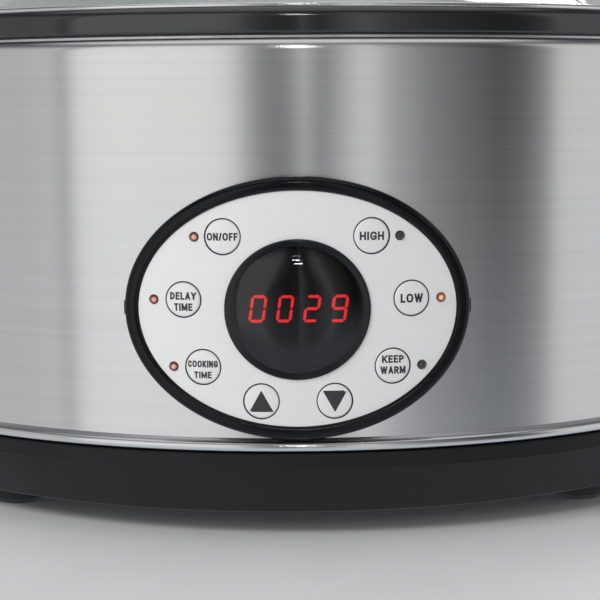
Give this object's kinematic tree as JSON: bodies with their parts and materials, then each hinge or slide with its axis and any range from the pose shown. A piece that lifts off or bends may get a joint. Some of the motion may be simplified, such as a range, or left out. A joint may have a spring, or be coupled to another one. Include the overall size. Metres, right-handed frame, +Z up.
{
  "type": "slow cooker",
  "caption": "Oval electronic slow cooker with a curved steel wall, a front control panel, a lift-out stoneware crock and a domed glass lid.",
  "frame": {"origin": "on the table, under the middle of the oval body", "axes": "+X to the right along the oval's long axis, +Y to the rear away from the control panel, +Z up"},
  "size_m": [0.433, 0.292, 0.2482],
  "materials": {
    "housing_steel": "fine horizontal brushing",
    "base_black": "satin moulded",
    "cover_metal": "semi-matt black coating",
    "foot_rubber": "matt",
    "liner_metal": "dull aluminised sheet",
    "mica_band": "pressed mica",
    "zinc_screw": "zinc plated",
    "sensor_metal": "satin",
    "fuse_body": "matt",
    "lead_insulation": "woven glass sleeve",
    "board_green": "solder mask",
    "component_black": "moulded",
    "relay_blue": "moulded",
    "transformer_core": "varnished",
    "ribbon_grey": "soft PVC",
    "bezel_black": "high gloss",
    "fascia_silver": "satin silver lacquer",
    "window_dark": "polished smoked acrylic",
    "carrier_grey": "moulded",
    "switch_black": "moulded",
    "led_red": "clear tinted lens, lit",
    "led_amber": "clear tinted lens, lit",
    "led_dark": "clear tinted lens, unlit",
    "handle_black": "fine textured",
    "gland_rubber": "satin",
    "crock_glaze": "black glaze",
    "clear_glass": "toughened clear glass",
    "rim_steel": "polished steel",
    "knob_black": "moulded phenolic",
    "silicone": "translucent silicone"
  },
  "bodies": {
    "cooker": {"outer_housing": "housing_steel", "base_skirt": "base_black", "bottom_cover": "cover_metal", "foot_front_left": "foot_rubber", "foot_front_right": "foot_rubber", "foot_rear_left": "foot_rubber", "foot_rear_right": "foot_rubber", "heating_liner": "liner_metal", "heater_band": "mica_band", "heater_strap": "zinc_screw", "tie_bolt": "zinc_screw", "tie_washer": "zinc_screw", "temperature_sensor": "sensor_metal", "sensor_clip": "zinc_screw", "thermal_fuse": "fuse_body", "heater_leads": "lead_insulation", "power_board": "board_green", "power_transformer": "transformer_core", "power_relay": "relay_blue", "power_capacitors": "component_black", "terminal_block": "relay_blue", "board_screws": "zinc_screw", "ribbon_cable": "ribbon_grey", "panel_bezel": "bezel_black", "fascia_plate": "fascia_silver", "window_frame": "bezel_black", "display_window": "window_dark", "panel_carrier": "carrier_grey", "control_board": "board_green", "display_module": "component_black", "tact_switches": "switch_black", "panel_screws": "zinc_screw", "handle_left": "handle_black", "handle_right": "handle_black", "handle_screws": "zinc_screw", "base_screws": "zinc_screw", "cord_gland": "gland_rubber", "led_on_off": "led_red", "led_delay_time": "led_red", "led_cooking_time": "led_red", "led_keep_warm": "led_dark", "led_low": "led_amber", "led_high": "led_dark"},
    "crock": {"crock": "crock_glaze"},
    "lid": {"lid_glass": "clear_glass", "lid_rim": "rim_steel", "lid_knob": "knob_black", "knob_base": "rim_steel", "knob_washer": "silicone", "knob_screw": "zinc_screw", "vent_grommet": "rim_steel"},
    "button_on_off": {"button_on_off": "fascia_silver"},
    "button_delay_time": {"button_delay_time": "fascia_silver"},
    "button_cooking_time": {"button_cooking_time": "fascia_silver"},
    "button_time_up": {"button_time_up": "fascia_silver"},
    "button_time_down": {"button_time_down": "fascia_silver"},
    "button_keep_warm": {"button_keep_warm": "fascia_silver"},
    "button_low": {"button_low": "fascia_silver"},
    "button_high": {"button_high": "fascia_silver"}
  },
  "joints": [
    {"name": "crock_lift", "type": "slide", "parent": "cooker", "child": "crock", "axis": [0, 0, 1], "range_m": [0, 0.17]},
    {"name": "lid_lift", "type": "slide", "parent": "crock", "child": "lid", "axis": [0, 0, 1], "range_m": [0, 0.12]},
    {"name": "on_off_press", "type": "slide", "parent": "cooker", "child": "button_on_off", "axis": [0.1128, 0.9936, 0], "range_m": [0, 0.0006], "stiffness_N_per_m": 3000},
    {"name": "delay_time_press", "type": "slide", "parent": "cooker", "child": "button_delay_time", "axis": [0.1748, 0.9846, 0], "range_m": [0, 0.0006], "stiffness_N_per_m": 3000},
    {"name": "cooking_time_press", "type": "slide", "parent": "cooker", "child": "button_cooking_time", "axis": [0.1456, 0.9893, 0], "range_m": [0, 0.0006], "stiffness_N_per_m": 3000},
    {"name": "time_up_press", "type": "slide", "parent": "cooker", "child": "button_time_up", "axis": [0.0561, 0.9984, 0], "range_m": [0, 0.0006], "stiffness_N_per_m": 3000},
    {"name": "time_down_press", "type": "slide", "parent": "cooker", "child": "button_time_down", "axis": [-0.0561, 0.9984, 0], "range_m": [0, 0.0006], "stiffness_N_per_m": 3000},
    {"name": "keep_warm_press", "type": "slide", "parent": "cooker", "child": "button_keep_warm", "axis": [-0.1456, 0.9893, 0], "range_m": [0, 0.0006], "stiffness_N_per_m": 3000},
    {"name": "low_press", "type": "slide", "parent": "cooker", "child": "button_low", "axis": [-0.1748, 0.9846, 0], "range_m": [0, 0.0006], "stiffness_N_per_m": 3000},
    {"name": "high_press", "type": "slide", "parent": "cooker", "child": "button_high", "axis": [-0.1128, 0.9936, 0], "range_m": [0, 0.0006], "stiffness_N_per_m": 3000}
  ]
}
